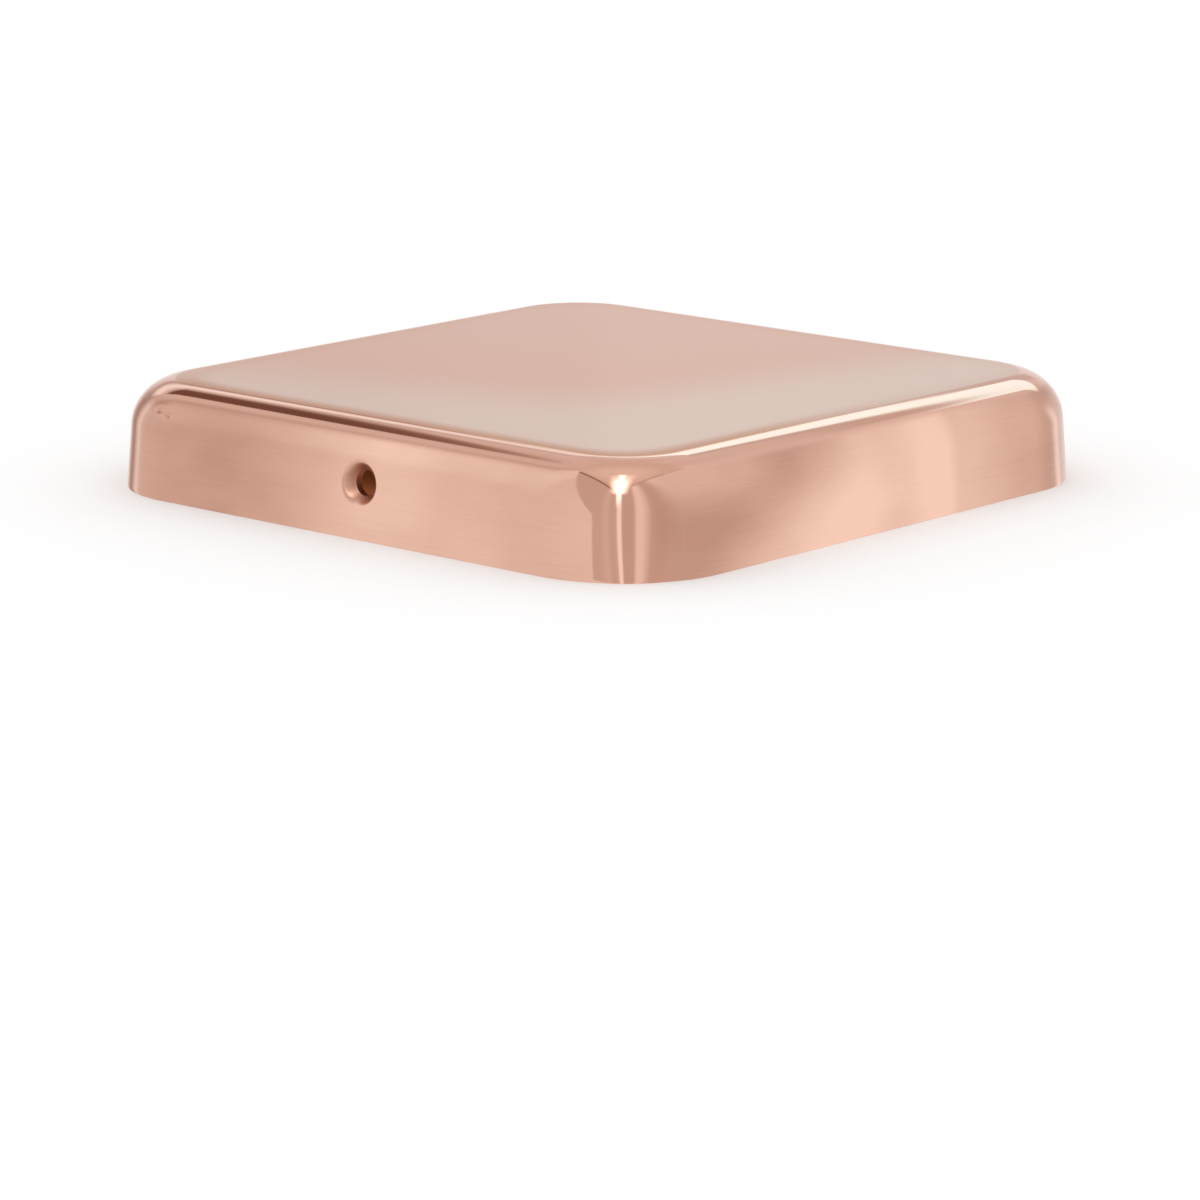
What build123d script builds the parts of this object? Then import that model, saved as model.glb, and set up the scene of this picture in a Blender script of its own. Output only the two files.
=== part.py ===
from build123d import *
import os
from math import cos, hypot, radians, sin, tan

# A low square cap with rounded corners and a rolled top edge, drawn in one piece from copper sheet.
# Millimetres, Z up. Z = 0 is the trimmed lower edge, and the origin is the middle of the open underside.

# Drawn shell, measured over the outside of the sheet
RIM_SIDE = 106.0
HEIGHT = 15.5
SHEET = 0.7
WALL_DRAFT = 4.75
RIM_CORNER_RADIUS = 17.0
EDGE_ROLL_RADIUS = 7.0
RIM_EDGE_BREAK = 0.15

# Dimpled screw holes, pressed into the front wall and the back wall
SCREW_HOLE_DIAMETER = 3.7
DIMPLE_DIAMETER = 6.4
DIMPLE_CONE_ANGLE = 82.0
DIMPLE_LIP_RADIUS = 1.3
HOLE_SIDE_STEP = 2.5

draft = radians(WALL_DRAFT)
cone_half_angle = radians(DIMPLE_CONE_ANGLE / 2)
hole_height = HEIGHT / 2


def hole_planes():
    """A plane on the outside of the wall at each screw hole, front then back, with its normal pointing out."""
    wall_y = RIM_SIDE / 2 - hole_height * tan(draft)
    return [
        Plane(
            origin=(-facing * HOLE_SIDE_STEP, facing * wall_y, hole_height),
            x_dir=(-facing, 0, 0),
            z_dir=(0, facing * cos(draft), sin(draft)),
        )
        for facing in (-1, 1)
    ]


def dimple_cone(plane, depth):
    """The cone that the punch presses in, grown by the given depth of sheet."""
    reach = DIMPLE_DIAMETER
    apex_depth = DIMPLE_DIAMETER / 2 / tan(cone_half_angle) + depth / sin(cone_half_angle)
    length = apex_depth + reach
    cone = Cone(0, length * tan(cone_half_angle), length, align=(Align.CENTER, Align.CENTER, Align.MIN))
    return plane.offset(-apex_depth) * cone


def is_mouth(edge, plane):
    """True for an edge that runs round the mouth of the dimple on the given plane."""
    points = [plane.to_local_coords(edge @ share) for share in (0, 0.5, 1)]
    clear_of_axis = all(hypot(point.X, point.Y) > DIMPLE_DIAMETER / 4 for point in points)
    return clear_of_axis and all(point.length < DIMPLE_DIAMETER for point in points)


def drawn_form(depth):
    """The solid bounded by the surface that lies the given depth inside the outside of the sheet."""
    wall_step = depth / cos(draft)
    side = RIM_SIDE - 2 * wall_step
    plan = RectangleRounded(side, side, RIM_CORNER_RADIUS - wall_step)
    form = extrude(plan, HEIGHT - depth, taper=WALL_DRAFT)
    top_edges = form.faces().sort_by(Axis.Z)[-1].edges()
    form = fillet(top_edges, EDGE_ROLL_RADIUS - depth)
    for plane in hole_planes():
        form -= dimple_cone(plane, depth)
        mouth = form.edges().filter_by(lambda edge: is_mouth(edge, plane))
        form = fillet(mouth, DIMPLE_LIP_RADIUS - depth)
    return form


def post_cap():
    """The finished shell: outside less inside, with the rim edges broken and the screw holes pierced."""
    cap = drawn_form(0) - drawn_form(SHEET)
    rim_edges = cap.faces().sort_by(Axis.Z)[0].edges()
    cap = chamfer(rim_edges, RIM_EDGE_BREAK)
    for plane in hole_planes():
        pierce = Cylinder(SCREW_HOLE_DIAMETER / 2, 2 * DIMPLE_DIAMETER)
        cap -= plane * pierce
    return cap


os.makedirs("parts", exist_ok=True)
export_step(post_cap(), "parts/post_cap.step")
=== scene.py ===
import math

import bmesh
import bpy
from mathutils import Matrix, Vector


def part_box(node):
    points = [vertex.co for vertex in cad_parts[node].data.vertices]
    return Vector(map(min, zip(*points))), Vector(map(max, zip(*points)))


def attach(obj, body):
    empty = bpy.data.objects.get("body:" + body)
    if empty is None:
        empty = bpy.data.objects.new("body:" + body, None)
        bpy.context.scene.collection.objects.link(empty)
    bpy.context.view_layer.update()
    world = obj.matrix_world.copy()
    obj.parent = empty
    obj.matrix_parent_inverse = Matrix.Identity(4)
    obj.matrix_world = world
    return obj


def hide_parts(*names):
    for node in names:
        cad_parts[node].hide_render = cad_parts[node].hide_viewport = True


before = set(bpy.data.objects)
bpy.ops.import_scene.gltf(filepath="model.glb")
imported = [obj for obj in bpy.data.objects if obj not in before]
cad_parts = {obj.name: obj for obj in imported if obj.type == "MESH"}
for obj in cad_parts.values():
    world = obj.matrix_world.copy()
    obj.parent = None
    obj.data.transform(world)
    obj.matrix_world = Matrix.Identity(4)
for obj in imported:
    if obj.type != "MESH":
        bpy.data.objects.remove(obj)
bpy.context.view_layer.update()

scene = bpy.context.scene
scene.view_settings.view_transform = "Standard"


# Drawn cap: a low square shell of copper sheet with leaning walls, round corners and a rolled top edge.
# A plane is inset and raised into the outside of the shell, dimpled for its two screws, worn a little,
# and thickened inwards. It stands on its rim, with brushed walls, polished edges and a satin top.
mm = 0.001
low_corner, high_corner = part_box("post_cap")
rim_side = high_corner.x - low_corner.x
height = high_corner.z
draft = math.radians(4.75)
rim_corner_radius = 17 * mm
edge_roll_radius = 7 * mm
corner_segments = 48
roll_segments = 40
wall_rows = 20
round_profile = 0.5

bpy.ops.object.select_all(action="DESELECT")
bpy.ops.mesh.primitive_plane_add(size=rim_side)
cap = bpy.context.object
cap.name = "drawn_cap"
bpy.ops.object.mode_set(mode="EDIT")
bpy.ops.mesh.bevel(
    affect="VERTICES", offset=rim_corner_radius, segments=corner_segments, profile=round_profile,
)
bpy.ops.mesh.select_all(action="SELECT")
bpy.ops.mesh.inset(thickness=height * math.tan(draft), depth=height)
bpy.ops.mesh.region_to_loop()
roll_reach = edge_roll_radius * math.tan(math.pi / 4 - draft / 2)
bpy.ops.mesh.bevel(offset=roll_reach, segments=roll_segments, profile=round_profile, clamp_overlap=False)

wall_top = height - edge_roll_radius * (1 - math.sin(draft))
for row in range(1, wall_rows):
    bpy.ops.mesh.select_all(action="SELECT")
    bpy.ops.mesh.bisect(plane_co=(0, 0, wall_top * row / wall_rows), plane_no=(0, 0, 1))

# The underside is closed for the moment, so that the two dimples can be cut out of a solid.
bpy.ops.mesh.select_all(action="DESELECT")
bpy.ops.mesh.select_mode(type="EDGE")
bpy.ops.mesh.select_non_manifold()
bpy.ops.mesh.edge_face_add()
bpy.ops.mesh.select_all(action="SELECT")
bpy.ops.mesh.normals_make_consistent(inside=False)
bpy.ops.object.mode_set(mode="OBJECT")

hole_radius = 1.85 * mm
hole_side_step = 2.5 * mm
hole_height = height / 2
dimple_radius = 3.2 * mm
dimple_half_angle = math.radians(41)
dimple_lip = 0.6 * mm
dimple_reach = 4.4 * mm
dimple_rings = 18
dimple_sides = 96
merge_distance = 0.06 * mm

wall_y = rim_side / 2 - hole_height * math.tan(draft)
roll_above_hole = (wall_top - hole_height) / math.cos(draft)
front_hole = Matrix((
    (1, 0, 0, hole_side_step),
    (0, math.sin(draft), -math.cos(draft), -wall_y),
    (0, math.cos(draft), math.sin(draft), hole_height),
    (0, 0, 0, 1),
))
back_hole = Matrix.Rotation(math.pi, 4, "Z") @ front_hole


def sheet_depth(across, up):
    """How far the outside of the dimpled sheet lies behind the plane of the wall, at a place by the hole."""
    into_roll = max(up - roll_above_hole, 0)
    plain = edge_roll_radius - math.sqrt(edge_roll_radius ** 2 - into_roll ** 2)
    cone = (dimple_radius - math.hypot(across, up)) / math.tan(dimple_half_angle)
    share = min(max(0.5 + 0.5 * (cone - plain) / dimple_lip, 0), 1)
    return plain + (cone - plain) * share + dimple_lip * share * (1 - share)


def select_faces(test):
    """Selects the faces of the cap whose middle and normal pass the test, and no others."""
    bpy.ops.mesh.select_mode(type="FACE")
    form = bmesh.from_edit_mesh(cap.data)
    for face in form.faces:
        face.select_set(test(face.calc_center_median(), face.normal))
    bmesh.update_edit_mesh(cap.data)


def select_open_edges(test):
    """Selects the open edges of the cap whose middle passes the test, and no others."""
    bpy.ops.mesh.select_mode(type="EDGE")
    bpy.ops.mesh.select_all(action="DESELECT")
    form = bmesh.from_edit_mesh(cap.data)
    for edge in form.edges:
        edge.select_set(edge.is_boundary and test((edge.verts[0].co + edge.verts[1].co) / 2))
    bmesh.update_edit_mesh(cap.data)


def move_corners(move, only_selected=False):
    """Moves the corners of the cap's mesh to the places that the given function works out."""
    form = bmesh.from_edit_mesh(cap.data)
    for corner in form.verts:
        if corner.select or not only_selected:
            corner.co = move(corner.co, corner.normal)
    bmesh.update_edit_mesh(cap.data)


for hole in (front_hole, back_hole):
    bpy.ops.object.select_all(action="DESELECT")
    bpy.ops.mesh.primitive_cylinder_add(vertices=dimple_sides, radius=dimple_reach, depth=2 * dimple_reach)
    punch = bpy.context.object
    punch.data.transform(hole)
    bpy.context.view_layer.objects.active = cap
    cut = cap.modifiers.new("punch", "BOOLEAN")
    cut.object = punch
    bpy.ops.object.modifier_apply(modifier=cut.name)
    bpy.data.objects.remove(punch)

# The underside and the faces left by the punches come away, and rings of sheet grow into the dimples.
facing_down = -0.9
facing_out = 0.2
hole_surround = 1.3 * dimple_reach
punch_floor = -0.9 * dimple_reach
bpy.ops.object.mode_set(mode="EDIT")
select_faces(lambda middle, normal: normal.z < facing_down)
bpy.ops.mesh.delete(type="FACE")
for hole in (front_hole, back_hole):
    to_hole = hole.inverted()
    outward = hole.to_3x3().col[2]

    def near_hole(middle):
        return (to_hole @ middle).length < hole_surround

    select_faces(lambda middle, normal: near_hole(middle) and normal.dot(outward) < facing_out)
    bpy.ops.mesh.delete(type="FACE")
    select_faces(lambda middle, normal: near_hole(middle) and (to_hole @ middle).z < punch_floor)
    bpy.ops.mesh.delete(type="FACE")
    select_open_edges(near_hole)
    bpy.ops.mesh.remove_doubles(threshold=merge_distance)
    for ring in range(1, dimple_rings + 1):
        radius = dimple_reach + (hole_radius - dimple_reach) * ring / dimple_rings

        def into_dimple(place, normal):
            across, up = (to_hole @ place).xy.normalized() * radius
            return hole @ Vector((across, up, -sheet_depth(across, up)))

        bpy.ops.mesh.extrude_edges_move()
        move_corners(into_dimple, only_selected=True)
bpy.ops.mesh.select_all(action="SELECT")
bpy.ops.mesh.normals_make_consistent(inside=False)

# Wear: the front corner is pinched outwards near the rim, and two nicks lie on the roll at the left corner.
pinch = 0.2 * mm
pinch_width = math.radians(15)
bisector = Vector((1, -1, 0)).normalized()
corner_middle = Vector((1, -1, 0)) * (rim_side / 2 - rim_corner_radius)


def pinched(place, normal):
    """A place on the front corner's wall, moved outwards, most at the rim and along the corner's middle."""
    from_middle = (place - corner_middle).to_2d()
    if place.z > wall_top or from_middle.x < 0 or from_middle.y > 0:
        return place
    angle = from_middle.angle(bisector.to_2d())
    return place + bisector * pinch * (1 - place.z / wall_top) ** 2 * math.exp(-(angle / pinch_width) ** 2)


move_corners(pinched)

nick_cut = 0.15 * mm
nick_cuts = 28
nick_field_end = -34.8 * mm
left_roll_front = -0.4 * rim_side
left_roll_low = 0.6 * height
left_roll_high = 0.95 * height
left_roll_facing = 0.3
long_nick = {
    "middle": Vector((-37.97, -50.88, 12.5)) * mm,
    "length": 0.8 * mm,
    "width": 0.3 * mm,
    "depth": 0.32 * mm,
}
short_nick = {
    "middle": Vector((-35.88, -51.31, 12.03)) * mm,
    "length": 0.45 * mm,
    "width": 0.34 * mm,
    "depth": 0.3 * mm,
}


def on_left_roll(middle, normal):
    """True for a face on the roll of the front wall."""
    in_height = left_roll_low < middle.z < left_roll_high
    return middle.y < left_roll_front and in_height and -normal.y > left_roll_facing


def in_nick_field(middle, normal):
    """True for a face on the end of that roll which is cut finer for the nicks."""
    return on_left_roll(middle, normal) and middle.x < nick_field_end


select_faces(on_left_roll)
bpy.ops.mesh.bisect(plane_co=(nick_field_end, 0, 0), plane_no=(1, 0, 0))
for step in range(1, nick_cuts):
    select_faces(in_nick_field)
    bpy.ops.mesh.bisect(plane_co=(nick_field_end - step * nick_cut, 0, 0), plane_no=(1, 0, 0))


def nicked(place, normal):
    """A place pressed inwards where one of the nicks lies."""
    depth = 0
    for nick in (long_nick, short_nick):
        away = place - nick["middle"]
        along = away.x / nick["length"]
        across = away.yz.length / nick["width"]
        depth += nick["depth"] * math.exp(-along ** 2 - across ** 2)
    return place - normal * depth


move_corners(nicked)
bpy.ops.mesh.select_all(action="SELECT")
bpy.ops.mesh.normals_make_consistent(inside=False)
bpy.ops.object.mode_set(mode="OBJECT")

# The sheet grows inwards. Then the rim is trimmed level and its edges broken, and the holes are pierced.
sheet = 0.7 * mm
rim_edge_break = 0.15 * mm
rim_edge_segments = 2
rim_face_height = 0.1 * rim_edge_break
sharp_angle = math.radians(35)
copper = bpy.data.materials.new("copper_outside")
inside = bpy.data.materials.new("copper_inside")
cap.data.materials.append(copper)
cap.data.materials.append(inside)
thickness = cap.modifiers.new("sheet", "SOLIDIFY")
thickness.thickness = sheet
thickness.offset = -1
thickness.material_offset = 1
bpy.ops.object.modifier_apply(modifier=thickness.name)


def trimmed(place, normal):
    """A place level with the rim, if it lies close to it."""
    return Vector((place.x, place.y, 0)) if place.z < rim_edge_break else place


bpy.ops.object.mode_set(mode="EDIT")
move_corners(trimmed)
cone_depth = (dimple_radius - hole_radius) / math.tan(dimple_half_angle)
hole_inner_depth = cone_depth + sheet / math.sin(dimple_half_angle)
pierced_from = -0.76 * hole_inner_depth
for hole in (front_hole, back_hole):
    to_hole = hole.inverted()

    def pierced(place, normal):
        local = to_hole @ place
        if local.xy.length > dimple_radius or local.z > pierced_from:
            return place
        across, up = local.xy.normalized() * hole_radius
        return hole @ Vector((across, up, -hole_inner_depth))

    move_corners(pierced)
select_faces(lambda middle, normal: middle.z < rim_face_height)
bpy.ops.mesh.region_to_loop()
bpy.ops.mesh.bevel(offset=rim_edge_break, segments=rim_edge_segments, profile=round_profile)
bpy.ops.object.mode_set(mode="OBJECT")
cap.select_set(True)
bpy.ops.object.shade_smooth_by_angle(angle=sharp_angle)
flat_walls = cap.modifiers.new("flat_walls", "WEIGHTED_NORMAL")
flat_walls.keep_sharp = True
bpy.ops.object.modifier_apply(modifier=flat_walls.name)


def add_node(tree, kind, inputs=(), output=0, **settings):
    """Adds a node, with values or other nodes' outputs on its inputs, and returns one of its outputs."""
    node = tree.nodes.new(kind)
    for name, value in settings.items():
        setattr(node, name, value)
    for socket, value in dict(inputs).items():
        if isinstance(value, bpy.types.NodeSocket):
            tree.links.new(value, node.inputs[socket])
        else:
            node.inputs[socket].default_value = value
    return node.outputs[output]


def maths(tree, operation, first, second=0.0, third=0.0):
    """One sum or comparison of numbers."""
    return add_node(tree, "ShaderNodeMath", {0: first, 1: second, 2: third}, operation=operation)


def rise(tree, value, start, end):
    """A smooth step from 0 at the start to 1 at the end."""
    inputs = {"Value": value, "From Min": start, "From Max": end}
    return add_node(tree, "ShaderNodeMapRange", inputs, interpolation_type="SMOOTHSTEP")


def blend(tree, share, first, second):
    """A colour between two colours."""
    return add_node(tree, "ShaderNodeMix", {0: share, 6: first, 7: second}, output=2, data_type="RGBA")


def noise(tree, place, stretch, detail):
    """Cloudy noise about 0, with so many clouds to the millimetre along each axis."""
    stretched = add_node(tree, "ShaderNodeVectorMath", {0: place, 1: stretch}, operation="MULTIPLY")
    clouds = add_node(tree, "ShaderNodeTexNoise", {"Vector": stretched, "Scale": 1.0, "Detail": detail})
    return maths(tree, "SUBTRACT", clouds, 0.5)


# The bright and dark copper are the two ends of the painted reflection on the brushed walls.
copper_painted_bright = (0.92, 0.58, 0.45, 1)
copper_painted_dim = (0.515, 0.272, 0.196, 1)
copper_polished = (0.74, 0.435, 0.335, 1)
# Painted shade for the dimples.
copper_dimple_shade = (0.33, 0.13, 0.075, 1)

# The finishes are placed in millimetres: the corners and the roll are polished, and the walls brushed.
copper.use_nodes = True
tree = copper.node_tree
shader = tree.nodes["Principled BSDF"]
place = add_node(tree, "ShaderNodeTexCoord", output="Object")
place = add_node(tree, "ShaderNodeVectorMath", {0: place, "Scale": 1 / mm}, operation="SCALE")
split = tree.nodes.new("ShaderNodeSeparateXYZ")
tree.links.new(place, split.inputs[0])
x, y, z = split.outputs
size_x = maths(tree, "ABSOLUTE", x)
size_y = maths(tree, "ABSOLUTE", y)
on_side_wall = maths(tree, "GREATER_THAN", size_x, size_y)
to_corner = maths(tree, "MINIMUM", size_x, size_y)
in_corner = rise(tree, to_corner, start=42, end=46)
off_corner = rise(tree, to_corner, start=42, end=38)
on_roll = rise(tree, z, start=13.4, end=14.4)
off_roll = rise(tree, z, start=13.6, end=12)
on_top = rise(tree, z, start=15.45, end=15.495)
brushed = maths(tree, "MULTIPLY", off_corner, off_roll)

# The brushed walls have fine level lines and cloudy tone, and broad bright patches of painted reflection,
# which lie differently on the two pairs of walls. Each change of painted reflection along a wall has a start
# and an end in millimetres, and a gain.
streaks = noise(tree, place, stretch=(0.12, 0.12, 9), detail=4)
clouds = noise(tree, place, stretch=(0.06, 0.06, 0.12), detail=2)
streak_gain = 0.22
cloud_gain = 0.4
reflection_patch_lean = -1.6
reflection_patch_shift = 8
front_end_reflection_gain = 0.4
reflection_dip_gain = -0.2
side_wall_reflection_changes = ((13.5, 17, -0.32), (17, 36, -0.36), (34, 38, -0.22))
hole_wall_reflection_base = 0.14
hole_wall_reflection_changes = ((-24, 9, 0.54), (11, 18, -0.1), (26, 32, -0.1))


def add_reflection_changes(painted_reflection_and_brushing, along, changes):
    """Adds changes of painted reflection along a wall to its brightness."""
    for start, end, gain in changes:
        painted_reflection_and_brushing = maths(tree, "MULTIPLY_ADD", rise(tree, along, start, end), gain, painted_reflection_and_brushing)
    return painted_reflection_and_brushing


lean = maths(tree, "MULTIPLY_ADD", z, reflection_patch_lean, reflection_patch_shift)
side_wall_reflection = rise(tree, maths(tree, "ADD", y, lean), start=-39, end=-5)
front_end_reflection = maths(tree, "MULTIPLY", rise(tree, y, start=-18, end=-30), rise(tree, z, start=6, end=13))
side_wall_reflection = maths(tree, "MULTIPLY_ADD", front_end_reflection, front_end_reflection_gain, side_wall_reflection)
reflection_dip = maths(tree, "MULTIPLY", rise(tree, y, start=-6, end=2), rise(tree, y, start=11, end=4))
side_wall_reflection = maths(tree, "MULTIPLY_ADD", reflection_dip, reflection_dip_gain, side_wall_reflection)
side_wall_reflection = add_reflection_changes(side_wall_reflection, y, side_wall_reflection_changes)
hole_wall_reflection = add_reflection_changes(hole_wall_reflection_base, x, hole_wall_reflection_changes)
painted_reflection_and_brushing = add_node(tree, "ShaderNodeMix", {0: on_side_wall, 2: hole_wall_reflection, 3: side_wall_reflection})
painted_reflection_and_brushing = maths(tree, "MULTIPLY_ADD", streaks, streak_gain, painted_reflection_and_brushing)
painted_reflection_and_brushing = maths(tree, "MULTIPLY_ADD", clouds, cloud_gain, painted_reflection_and_brushing)
# Painted reflection: the walls' copper runs from dark to bright with the patches and lines above.
wall_colour_with_painted_reflection = blend(tree, painted_reflection_and_brushing, copper_painted_dim, copper_painted_bright)
polished = maths(tree, "MAXIMUM", in_corner, on_roll)
colour = blend(tree, polished, wall_colour_with_painted_reflection, copper_polished)

# The dimples are duller, and painted shade darkens them toward the hole, most of all at their upper side.
dimple_shade_base = 0.55
dimple_shade_gain = 0.4
facing = maths(tree, "SIGN", y)
across = maths(tree, "MULTIPLY_ADD", facing, hole_side_step / mm, x)
above = maths(tree, "SUBTRACT", z, hole_height / mm)
from_hole = maths(tree, "MULTIPLY_ADD", across, across, maths(tree, "MULTIPLY", above, above))
from_hole = maths(tree, "SQRT", from_hole)
in_dimple = rise(tree, from_hole, start=3.5, end=2)
in_dimple = maths(tree, "MULTIPLY", in_dimple, maths(tree, "SUBTRACT", 1, on_side_wall))
dimple_shade = maths(tree, "MULTIPLY_ADD", rise(tree, above, start=-1.5, end=2.2), dimple_shade_gain, dimple_shade_base)
dimple_shade = maths(tree, "MULTIPLY", dimple_shade, in_dimple)
colour = blend(tree, dimple_shade, colour, copper_dimple_shade)
tree.links.new(colour, shader.inputs["Base Color"])

# Painted reflection: the satin top is warmer than polished copper where it is seen at a low angle, warmer at
# the back than the front, and painted shade darkens it along its edges, most along its front edges.
no_tint = (1, 1, 1, 1)
painted_sheen_back = (0.887, 0.827, 0.8, 1)
painted_sheen_front = (0.9, 0.965, 0.965, 1)
painted_edge_shade = (0.703, 0.579, 0.492, 1)
left_share = -0.75
front_share = 0.25
turn_softness = 20
squareness = 11
edge_shade_base = 0.12
edge_shade_gain = 0.83
front_reach = maths(tree, "SMOOTH_MAX", x, maths(tree, "MULTIPLY", y, left_share), turn_softness)
front_reach = maths(tree, "MULTIPLY_ADD", maths(tree, "SUBTRACT", x, y), front_share, front_reach)
painted_sheen = blend(tree, rise(tree, front_reach, start=8, end=40), painted_sheen_back, painted_sheen_front)
powered_x = maths(tree, "POWER", size_x, squareness)
powered_y = maths(tree, "POWER", size_y, squareness)
to_edge = maths(tree, "POWER", maths(tree, "ADD", powered_x, powered_y), 1 / squareness)
# Painted shade along the top's edges, strongest along the front edges.
edge_shade_share = maths(tree, "MULTIPLY", rise(tree, y, start=25, end=-30), rise(tree, x, start=-46, end=-36))
edge_shade_share = maths(tree, "MULTIPLY_ADD", edge_shade_share, edge_shade_gain, edge_shade_base)
edge_shade_share = maths(tree, "MULTIPLY", edge_shade_share, rise(tree, to_edge, start=41.3, end=45.6))
painted_sheen = blend(tree, edge_shade_share, painted_sheen, painted_edge_shade)
tree.links.new(blend(tree, on_top, no_tint, painted_sheen), shader.inputs["Specular Tint"])

polished_roughness = 0.06
brushed_roughness = 0.09
satin_roughness = 0.06
dimple_roughness = 0.25
brush_line_depth = 0.01 * mm
roughness = maths(tree, "MULTIPLY_ADD", brushed, brushed_roughness, polished_roughness)
roughness = maths(tree, "MULTIPLY_ADD", on_top, satin_roughness, roughness)
roughness = maths(tree, "MULTIPLY_ADD", in_dimple, dimple_roughness, roughness)
tree.links.new(roughness, shader.inputs["Roughness"])
shader.inputs["Metallic"].default_value = 1
line_height = maths(tree, "MULTIPLY", streaks, brushed)
bump = add_node(tree, "ShaderNodeBump", {"Height": line_height, "Distance": brush_line_depth})
tree.links.new(bump, shader.inputs["Normal"])

# The inside keeps the dull, cloudy finish of the rolled sheet.
mill_dark = (0.5, 0.26, 0.17, 1)
mill_bright = (0.62, 0.35, 0.25, 1)
mill_roughness = 0.42
mill_roughness_gain = 0.3
inside.use_nodes = True
tree = inside.node_tree
shader = tree.nodes["Principled BSDF"]
place = add_node(tree, "ShaderNodeTexCoord", output="Object")
place = add_node(tree, "ShaderNodeVectorMath", {0: place, "Scale": 1 / mm}, operation="SCALE")
clouds = noise(tree, place, stretch=(0.08, 0.08, 0.08), detail=5)
mill_colour = blend(tree, rise(tree, clouds, start=-0.2, end=0.2), mill_dark, mill_bright)
tree.links.new(mill_colour, shader.inputs["Base Color"])
roughness = maths(tree, "MULTIPLY_ADD", clouds, mill_roughness_gain, mill_roughness)
tree.links.new(roughness, shader.inputs["Roughness"])
shader.inputs["Metallic"].default_value = 1
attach(cap, "root")
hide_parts("post_cap")


# Floor: a plain white sheet that takes the soft shadow of the cap, clear from below.
# One plane. It isn't mirrored, so that the low edge of the sphere further on stands in for it there.
floor_side = 12
floor_glow = 0.1
floor_colour = (0.92, 0.92, 0.92, 1)


def paint_one_side(material, middle_paint, edge_paint, seen_glow):
    """A matt paint that shows from above and not from below, with a little glow for rays that see it."""
    material.use_nodes = True
    tree = material.node_tree
    shader = tree.nodes["Principled BSDF"]
    split = tree.nodes.new("ShaderNodeSeparateXYZ")
    tree.links.new(add_node(tree, "ShaderNodeTexCoord", output="Object"), split.inputs[0])
    to_edge = rise(tree, maths(tree, "ABSOLUTE", split.outputs["Y"]), start=20 * mm, end=36 * mm)
    paint = blend(tree, to_edge, middle_paint, edge_paint)
    tree.links.new(paint, shader.inputs["Base Color"])
    tree.links.new(paint, shader.inputs["Emission Color"])
    shader.inputs["Roughness"].default_value = 1
    path = tree.nodes.new("ShaderNodeLightPath")
    seen = maths(tree, "MAXIMUM", path.outputs["Is Camera Ray"], path.outputs["Is Glossy Ray"])
    seen = maths(tree, "MAXIMUM", seen, path.outputs["Is Transmission Ray"])
    tree.links.new(maths(tree, "MULTIPLY", seen, seen_glow), shader.inputs["Emission Strength"])
    from_below = add_node(tree, "ShaderNodeNewGeometry", output="Backfacing")
    clear = add_node(tree, "ShaderNodeBsdfTransparent")
    surface = add_node(tree, "ShaderNodeMixShader", {0: from_below, 1: shader.outputs[0], 2: clear})
    tree.links.new(surface, tree.nodes["Material Output"].inputs["Surface"])


bpy.ops.object.select_all(action="DESELECT")
bpy.ops.mesh.primitive_plane_add(size=floor_side)
floor = bpy.context.object
floor.name = "floor"
floor.visible_glossy = False
floor.data.materials.append(bpy.data.materials.new("floor_paint"))
paint_one_side(floor.data.materials[0], floor_colour, floor_colour, floor_glow)


# Dark card: painted shade, a brown sheet under the hollow that stands in for the shade inside it behind the
# screw holes, with a little painted glow. One plane just above the floor, redder toward the two walls with
# holes, and clear from below.
card_side = 0.84 * rim_side
card_height = 0.05 * mm
shade_card_glow = 0.35
shade_card_middle = (0.16, 0.045, 0.015, 1)
shade_card_edge = (0.62, 0.2, 0.07, 1)
bpy.ops.object.select_all(action="DESELECT")
bpy.ops.mesh.primitive_plane_add(size=card_side, location=(0, 0, card_height))
card = bpy.context.object
card.name = "painted_shade_card"
card.data.materials.append(bpy.data.materials.new("painted_shade_card_paint"))
paint_one_side(card.data.materials[0], shade_card_middle, shade_card_edge, shade_card_glow)


# Surroundings: the soft studio that the polished copper mirrors, painted on the inside of a large sphere.
# Only mirrored rays see the sphere, and a plain white world lights the scene. Bearings are in degrees to the
# right of the camera's side, slopes in degrees up, and light of level 1 is plain white.
camera_turn = 41.364
camera_slope = 13.16
sphere_radius = 3
sphere_segments = 64
sphere_rings = 32
white = (1, 1, 1)
world = bpy.data.worlds.new("studio")
scene.world = world
world.use_nodes = True
world.node_tree.nodes["Background"].inputs["Color"].default_value = (*white, 1)
world.node_tree.nodes["Background"].inputs["Strength"].default_value = 1

bpy.ops.object.select_all(action="DESELECT")
bpy.ops.mesh.primitive_uv_sphere_add(segments=sphere_segments, ring_count=sphere_rings, radius=sphere_radius)
surroundings = bpy.context.object
surroundings.name = "surroundings"
surroundings.visible_camera = False
surroundings.visible_diffuse = False
surroundings.visible_shadow = False
glow = bpy.data.materials.new("surroundings_glow")
glow.use_nodes = True
glow.cycles.emission_sampling = "NONE"
tree = glow.node_tree
direction = add_node(tree, "ShaderNodeTexCoord", output="Object")
direction = add_node(tree, "ShaderNodeVectorMath", {0: direction}, operation="NORMALIZE")
turned = {"Vector": direction, "Angle": math.radians(90 - camera_turn)}
direction = add_node(tree, "ShaderNodeVectorRotate", turned, rotation_type="Z_AXIS")
split = tree.nodes.new("ShaderNodeSeparateXYZ")
tree.links.new(direction, split.inputs[0])
toward, right, up = split.outputs
bearing = maths(tree, "DEGREES", maths(tree, "ARCTAN2", right, toward))
full_bearing = maths(tree, "MULTIPLY_ADD", maths(tree, "LESS_THAN", bearing, 0), 360, bearing)
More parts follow.
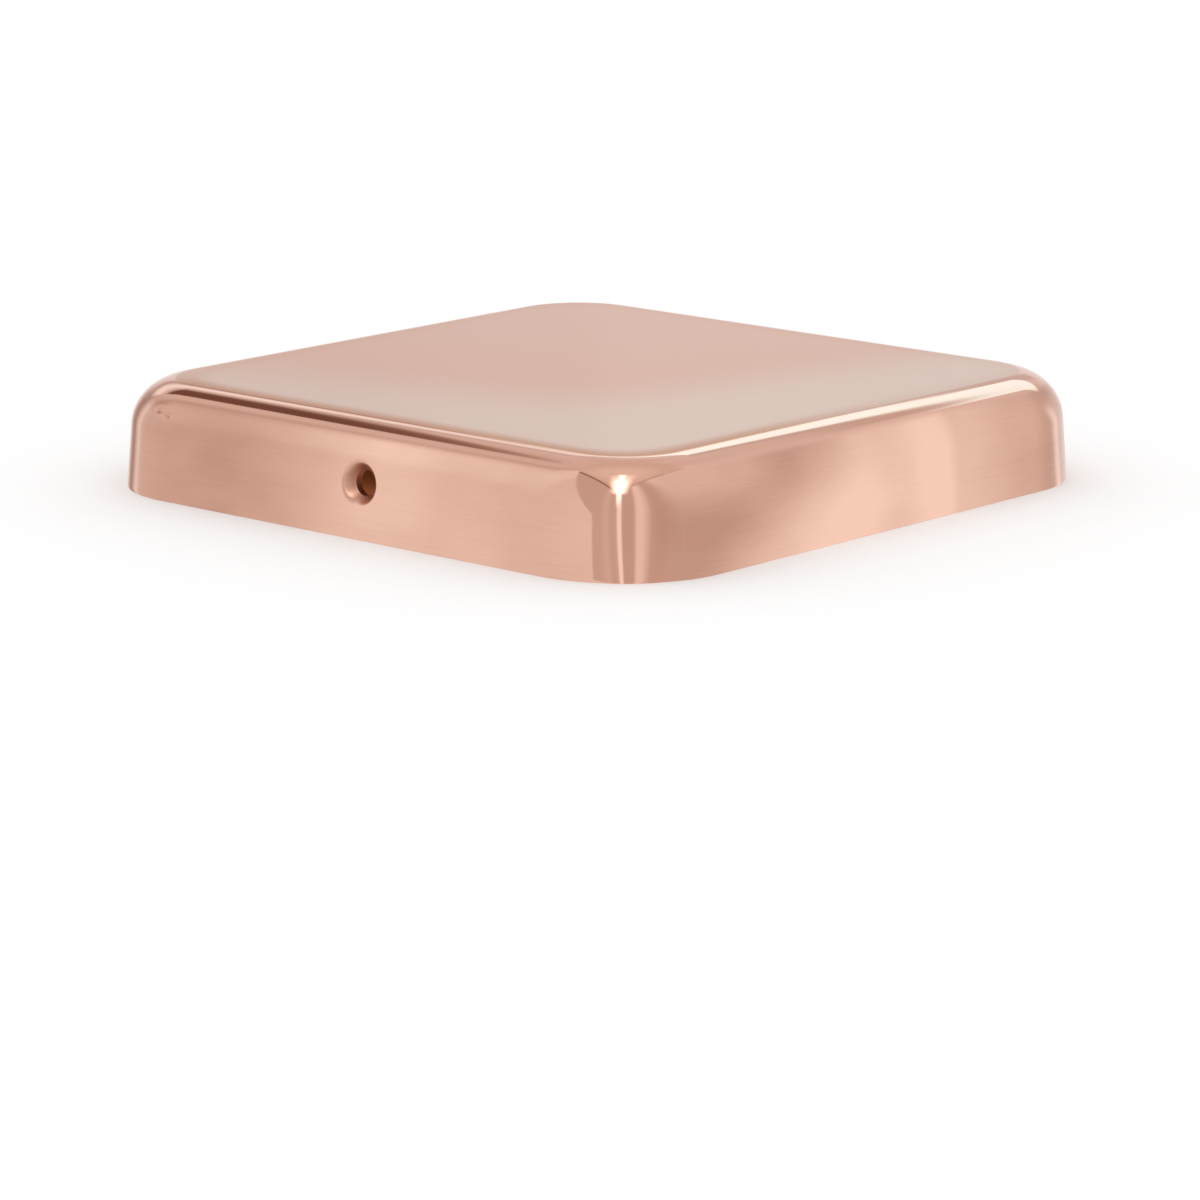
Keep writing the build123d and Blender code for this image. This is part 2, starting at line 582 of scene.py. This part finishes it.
slope = maths(tree, "DEGREES", maths(tree, "ARCSINE", up))


def along(way):
    """How far the direction goes along a given way."""
    return add_node(
        tree, "ShaderNodeVectorMath", {0: direction, 1: way}, output="Value", operation="DOT_PRODUCT",
    )


def below_edge(highest_at, steepness, softness):
    """1 below a straight level edge, which is highest at that bearing, and 0 above it."""
    angle = math.radians(highest_at)
    room = along((steepness * math.cos(angle), steepness * math.sin(angle), -1))
    return rise(tree, room, -softness, softness)


def band(value, start, end, softness):
    """1 from the start to the end, and 0 outside."""
    after = rise(tree, value, start - softness, start + softness)
    before = rise(tree, value, end + softness, end - softness)
    return maths(tree, "MULTIPLY", after, before)


def both(first, second):
    """1 where both shapes are 1."""
    return maths(tree, "MULTIPLY", first, second)


def light(level, tint=None):
    """The colour of light at a level, where what is darker is warmer too."""
    green_fall = 0.38
    blue_fall = 0.55
    red, green, blue = tint or (1, level ** green_fall, level ** blue_fall)
    return (level * red, level * green, level * blue, 1)


def levels(value, stops):
    """Light that changes with an angle, from a list of angles and levels."""
    start, end = stops[0][0], stops[-1][0]
    share = add_node(tree, "ShaderNodeMapRange", {"Value": value, "From Min": start, "From Max": end})
    ramp = tree.nodes.new("ShaderNodeValToRGB")
    tree.links.new(share, ramp.inputs[0])
    for angle, level in stops[1:-1]:
        ramp.color_ramp.elements.new((angle - start) / (end - start))
    for stop, (angle, level) in zip(ramp.color_ramp.elements, stops):
        stop.color = light(level)
    return ramp.outputs["Color"]


# The walls of the studio. The arcs are angles from the far side, leaning with the slope.
arc_foot = 8
left_arc_lean = -0.3
right_arc_lean = -0.7
far_slope = math.radians(camera_slope)
away = along((-math.cos(far_slope), 0, -math.sin(far_slope)))
away = maths(tree, "DEGREES", maths(tree, "ARCCOSINE", away))
above_foot = maths(tree, "ADD", slope, arc_foot)
left_arc = maths(tree, "MULTIPLY_ADD", above_foot, left_arc_lean, away)
right_arc = maths(tree, "MULTIPLY_ADD", above_foot, right_arc_lean, away)
left_low = levels(left_arc, (
    (0, 0.95), (15, 0.95), (21, 0.88), (27, 0.72), (32, 0.56), (38.5, 0.55), (44, 0.93), (50, 1.26),
    (56, 1.06), (62, 1.02), (90, 1.02), (144, 1.04), (180, 1.04),
))
left_high = levels(bearing, (
    (-180, 0.88), (-141, 0.86), (-134, 0.88), (-130, 0.8), (-125, 0.8), (-121, 0.95), (-115, 1.06),
    (-108, 1.1), (-90, 1.1), (-84, 1.03), (-20, 1.03),
))
left = blend(tree, rise(tree, slope, start=16, end=30), left_low, left_high)
front = levels(bearing, (
    (-60, 0.79), (-22, 0.79), (-16, 0.87), (-11, 0.77), (-7, 0.8), (-5, 1.25), (-3, 1.25), (-1, 0.74),
    (9, 0.75), (12.5, 1.06), (17, 1.06), (22, 0.9), (26, 0.75), (32, 0.74), (38, 0.8), (44, 0.9), (50, 1.0),
    (56, 1.05), (60, 1.05),
))
right_low = levels(right_arc, (
    (0, 0.95), (20, 0.95), (27, 1.0), (34, 1.08), (42, 1.15), (46, 1.42), (53, 1.42), (57, 1.0), (61, 1.0),
    (90, 1.02), (180, 1.05),
))
right_high = levels(bearing, (
    (50, 1.05), (90, 1.02), (122, 1.0), (134, 0.96), (141, 0.9), (150, 0.87), (180, 0.92),
))
right_side = blend(tree, rise(tree, slope, start=4, end=22), right_low, right_high)
low = blend(tree, rise(tree, bearing, start=56, end=60), front, right_side)

# The ceiling, with a dark beam on the left, a lighter one on the right, and the walls below them.
ceiling_low = light(level=0.84, tint=(1, 0.93, 0.87))
ceiling_high = light(level=1.0, tint=(1, 0.96, 0.92))
low_down = rise(tree, slope, start=40, end=36)
left_beam = below_edge(highest_at=-76, steepness=2.9, softness=0.04)
below_left_beam = below_edge(highest_at=-76, steepness=2.62, softness=0.03)
right_beam = below_edge(highest_at=65, steepness=3.0, softness=0.06)
right_beam = both(right_beam, band(bearing, start=0, end=100, softness=2))
below_right_beam = below_edge(highest_at=65, steepness=2.75, softness=0.06)
below_right_beam = both(below_right_beam, rise(tree, bearing, start=-2, end=2))
front_and_right = both(low_down, band(bearing, start=-50, end=182, softness=1))
right_panel = both(band(bearing, start=104, end=168, softness=6), rise(tree, slope, start=60, end=50))
left_panel = below_edge(highest_at=-120, steepness=2.2, softness=0.02)
left_panel = both(left_panel, band(bearing, start=-170, end=0, softness=1))
far_left = both(low_down, band(bearing, start=-182, end=-125, softness=1))
sky = blend(tree, rise(tree, slope, start=60, end=82), ceiling_low, ceiling_high)
sky = blend(tree, left_beam, sky, light(level=0.33))
sky = blend(tree, right_beam, sky, light(level=0.66))
sky = blend(tree, below_left_beam, sky, low)
sky = blend(tree, below_right_beam, sky, low)
sky = blend(tree, front_and_right, sky, low)
sky = blend(tree, right_panel, sky, low)
sky = blend(tree, left_panel, sky, left)
sky = blend(tree, far_left, sky, left)

# The lamp over the camera makes the star on the front corner, with a tail down the corner.
star_turn = math.radians(-5)
star_spread = 0.06
aside = maths(tree, "ABSOLUTE", along((-math.sin(star_turn), math.cos(star_turn), 0)))
near_side = rise(tree, toward, start=0, end=0.1)
star = maths(tree, "MULTIPLY_ADD", up, star_spread, maths(tree, "MULTIPLY", aside, -1))
star = both(rise(tree, star, start=-0.1, end=0.05), band(up, start=0.7, end=0.965, softness=0.06))
sky = blend(tree, both(star, near_side), sky, light(level=4, tint=white))
tail = both(rise(tree, aside, start=0.05, end=0.015), rise(tree, slope, start=8, end=44))
sky = blend(tree, both(tail, near_side), sky, light(level=3, tint=white))

# Along the right roll: a brown line at the top, a long cream strip, and a thin shade below it.
right_line = band(full_bearing, start=160, end=179, softness=2)
right_line = both(right_line, band(slope, start=14, end=27, softness=1))
sky = blend(tree, right_line, sky, light(level=0.76))
shade = below_edge(highest_at=125.7, steepness=0.875, softness=0.02)
shade = both(shade, band(full_bearing, start=143, end=180, softness=3))
shade = both(shade, rise(tree, slope, start=26, end=30))
sky = blend(tree, shade, sky, light(level=0.74))
past_strip = maths(tree, "SUBTRACT", 1, below_edge(highest_at=97.7, steepness=1.381, softness=0.015))
strip_foot = maths(tree, "MAXIMUM", past_strip, rise(tree, slope, start=24.5, end=26.5))
strip_foot = both(strip_foot, rise(tree, slope, start=14, end=16))
strip = both(below_edge(highest_at=125.7, steepness=0.8155, softness=0.01), strip_foot)
strip = both(strip, band(full_bearing, start=139, end=183, softness=1))
strip_low = light(level=1.35, tint=(1, 1.17, 1.15))
strip_high = light(level=1.33, tint=(1, 1.4, 1.52))
sky = blend(tree, strip, sky, blend(tree, rise(tree, slope, start=14, end=38), strip_low, strip_high))

# Along the left roll: a brown line at the top, a light one, and a broad dark one that bends.
dark_line_peak = 216
dark_line_slope = 43
dark_line_bend = 0.0278
left_lines = levels(slope, (
    (12, 0.95), (15, 0.6), (17, 0.62), (19.5, 0.88), (23, 1.17), (26.5, 1.12), (30, 0.85), (34, 0.6),
))
by_left_roll = band(full_bearing, start=183, end=215, softness=1)
by_left_roll = both(by_left_roll, band(slope, start=13, end=33, softness=1))
sky = blend(tree, by_left_roll, sky, left_lines)
off_peak = maths(tree, "SUBTRACT", dark_line_peak, full_bearing)
off_peak = maths(tree, "MULTIPLY", off_peak, off_peak)
above_line = maths(tree, "MULTIPLY_ADD", off_peak, dark_line_bend, slope)
above_line = maths(tree, "SUBTRACT", above_line, dark_line_slope)
dark_level = levels(above_line, (
    (-6, 0.21), (1.4, 0.21), (2.6, 0.26), (3.5, 0.36), (4.4, 0.54), (5.2, 0.82), (12, 0.86),
))
dark_line = rise(tree, full_bearing, start=188, end=202)
dark_line = both(dark_line, rise(tree, full_bearing, start=216.5, end=213.5))
dark_line = both(dark_line, band(slope, start=33, end=52, softness=2))
sky = blend(tree, dark_line, sky, dark_level)
emission = add_node(tree, "ShaderNodeEmission", {"Color": sky})
tree.links.new(emission, tree.nodes["Material Output"].inputs["Surface"])
surroundings.data.materials.append(glow)


# Camera: a long lens at the photo's angle and framing, worked out from the cap's outlines.
# It looks down at the front corner from a little above, with everything in focus.
camera_lens = 144.28
camera_sensor = 36
camera_place = (0.4496, -0.5108, 0.1411)
camera_roll = -0.098
camera_data = bpy.data.cameras.new("camera")
camera_data.lens = camera_lens
camera_data.sensor_width = camera_sensor
camera = bpy.data.objects.new("camera", camera_data)
scene.collection.objects.link(camera)
camera.location = camera_place
camera.rotation_euler = [math.radians(angle) for angle in (90 - camera_slope, camera_roll, camera_turn)]
scene.camera = camera
